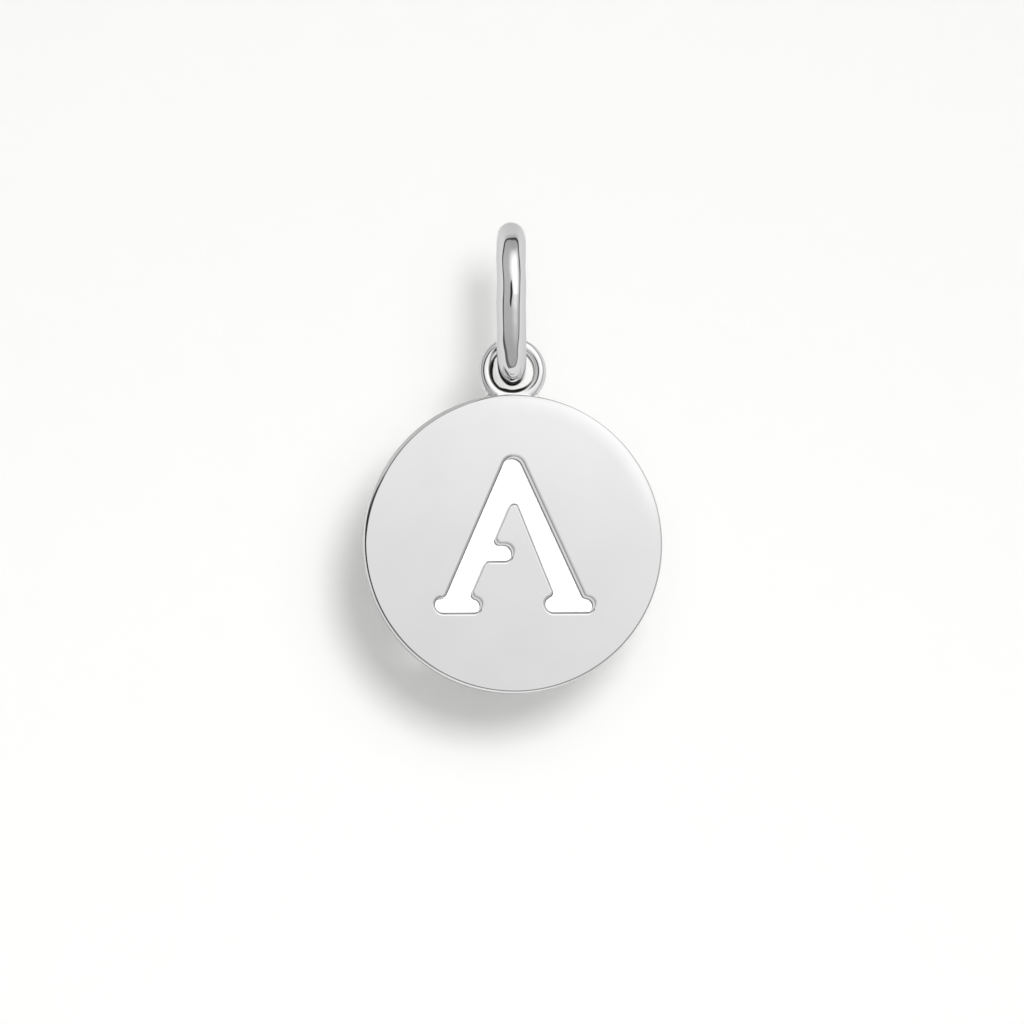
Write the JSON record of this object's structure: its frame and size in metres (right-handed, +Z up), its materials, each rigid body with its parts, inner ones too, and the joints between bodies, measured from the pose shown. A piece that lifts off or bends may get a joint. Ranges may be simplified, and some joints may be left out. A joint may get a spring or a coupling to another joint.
{
  "type": "initial pendant",
  "caption": "Polished silver disc pendant pierced by a serif capital letter, with a soldered eyelet hanging in a thick oval bail.",
  "frame": {"origin": "the point inside the top of the bail where a chain bears", "axes": "+Z up, the way the pendant hangs; the disc stands in the XZ plane and its front faces -Y; +X is to the right of someone who looks at the front"},
  "size_m": [0.014, 0.005, 0.0223],
  "materials": {
    "bail_silver": "polished sterling silver",
    "disc_silver": "polished sterling silver"
  },
  "bodies": {
    "bail": {"bail": "bail_silver"},
    "letter_disc": {"letter_disc": "disc_silver"}
  },
  "joints": [
    {"name": "disc_swing", "type": "hinge", "parent": "bail", "child": "letter_disc", "pos_m": [0, 0, -0.00416], "axis": [1, 0, 0], "range_deg": [-80, 80]}
  ]
}
